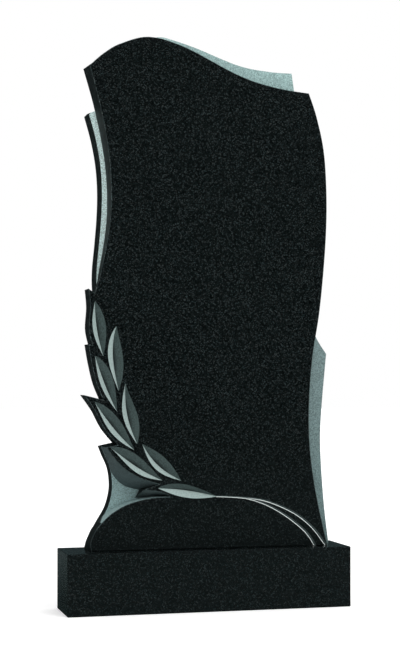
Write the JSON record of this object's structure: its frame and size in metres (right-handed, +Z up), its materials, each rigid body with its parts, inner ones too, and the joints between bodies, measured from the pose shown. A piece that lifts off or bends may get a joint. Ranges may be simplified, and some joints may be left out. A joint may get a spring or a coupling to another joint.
{
  "type": "headstone",
  "caption": "Upright polished stone headstone with a stepped wavy outline and a carved leaf branch, standing on a rectangular plinth.",
  "frame": {"origin": "middle of the plinth's underside, at ground level", "axes": "+Z up; the polished front with the carved branch faces -Y; +X is to the right of someone facing the front"},
  "size_m": [0.7, 0.15, 1.3874],
  "materials": {
    "polished_stone": "polished black granite with sanded pale grey carving"
  },
  "bodies": {
    "root": {"stele": "polished_stone", "plinth": "polished_stone"}
  },
  "joints": []
}
